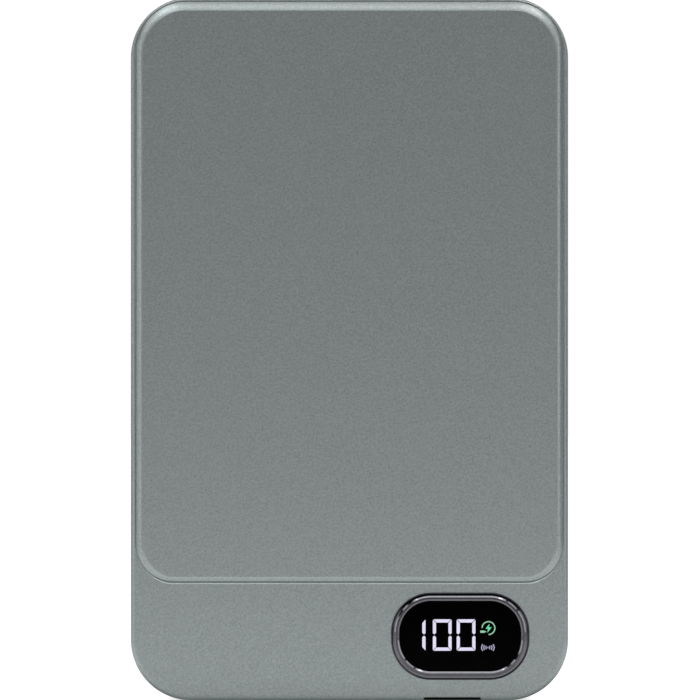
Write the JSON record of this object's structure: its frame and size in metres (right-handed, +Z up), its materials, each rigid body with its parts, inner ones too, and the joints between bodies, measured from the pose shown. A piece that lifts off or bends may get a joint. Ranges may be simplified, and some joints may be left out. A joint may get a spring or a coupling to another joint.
{
  "type": "wireless power bank",
  "caption": "Slim rounded power bank with a raised front panel, a pill-shaped digit display, a USB-C port, a side button and a wireless charging pad on its back.",
  "frame": {"origin": "middle of the bottom edge, where it stands upright", "axes": "+Z up along the long side; the display faces -Y; +X to the right, on the button side"},
  "size_m": [0.067, 0.0176, 0.1076],
  "materials": {
    "case_paint": "satin greenish-grey metallic paint with a fine grain",
    "button_paint": "satin greenish-grey metallic paint",
    "pad_rubber": "soft matt silicone",
    "bezel_chrome": "glossy dark chrome plating",
    "window_gloss": "glossy smoked black lens",
    "display_light": "lit cool white digits",
    "charge_light": "lit green sign",
    "signal_light": "dim lit grey sign",
    "module_plastic": "white reflector plastic",
    "black_foam": "matt black foam",
    "board": "green solder mask",
    "port_steel": "drawn steel shell",
    "black_plastic": "black moulded plastic",
    "screw_steel": "bright zinc",
    "switch_steel": "stamped steel",
    "chip_black": "matt black moulding",
    "capacitor": "moulded yellow case with a stripe",
    "pouch_foil": "silver laminated foil",
    "nickel_strip": "bright nickel strip",
    "amber_film": "amber insulating film",
    "ferrite": "dark grey ferrite sheet",
    "coil_copper": "enamelled copper litz wire",
    "magnet_nickel": "nickel-plated magnet",
    "shim_steel": "plain steel strip"
  },
  "bodies": {
    "case": {"front_shell": "case_paint", "back_shell": "case_paint", "charging_pad": "pad_rubber", "display_bezel": "bezel_chrome", "display_window": "window_gloss", "display_gasket": "black_foam", "display_module": "module_plastic", "main_board": "board", "board_screw_1": "screw_steel", "board_screw_2": "screw_steel", "power_inductor": "chip_black", "controller_chip": "chip_black", "wireless_chip": "chip_black", "input_transistor": "chip_black", "output_transistor": "chip_black", "input_capacitor": "capacitor", "output_capacitor": "capacitor", "usb_c_shell": "port_steel", "usb_c_tongue": "black_plastic", "tact_switch_base": "switch_steel", "battery_cell": "pouch_foil", "cell_tab_positive": "nickel_strip", "cell_tab_negative": "nickel_strip", "cell_foam_pad": "black_foam", "insulation_sheet": "amber_film", "thermistor": "chip_black", "coil_carrier": "module_plastic", "magnet_shim": "shim_steel", "ferrite_sheet": "ferrite", "charging_coil": "coil_copper", "coil_lead_start": "coil_copper", "coil_lead_end": "coil_copper", "magnet_01": "magnet_nickel", "magnet_02": "magnet_nickel", "magnet_03": "magnet_nickel", "magnet_04": "magnet_nickel", "magnet_05": "magnet_nickel", "magnet_06": "magnet_nickel", "magnet_07": "magnet_nickel", "magnet_08": "magnet_nickel", "magnet_09": "magnet_nickel", "magnet_10": "magnet_nickel", "magnet_11": "magnet_nickel", "magnet_12": "magnet_nickel", "magnet_13": "magnet_nickel", "magnet_14": "magnet_nickel", "magnet_15": "magnet_nickel", "magnet_16": "magnet_nickel"},
    "button": {"power_button": "button_paint"},
    "switch_plunger": {"tact_switch_plunger": "black_plastic"}
  },
  "joints": [
    {"name": "button_press", "type": "slide", "parent": "case", "child": "button", "axis": [-1, 0, 0], "range_m": [0, 0.00035], "stiffness_N_per_m": 2000},
    {"name": "plunger_press", "type": "slide", "parent": "case", "child": "switch_plunger", "axis": [-1, 0, 0], "range_m": [0, 0.00035]}
  ],
  "couplings": [
    {"joint": "plunger_press", "follows": "button_press", "ratio": 1}
  ]
}
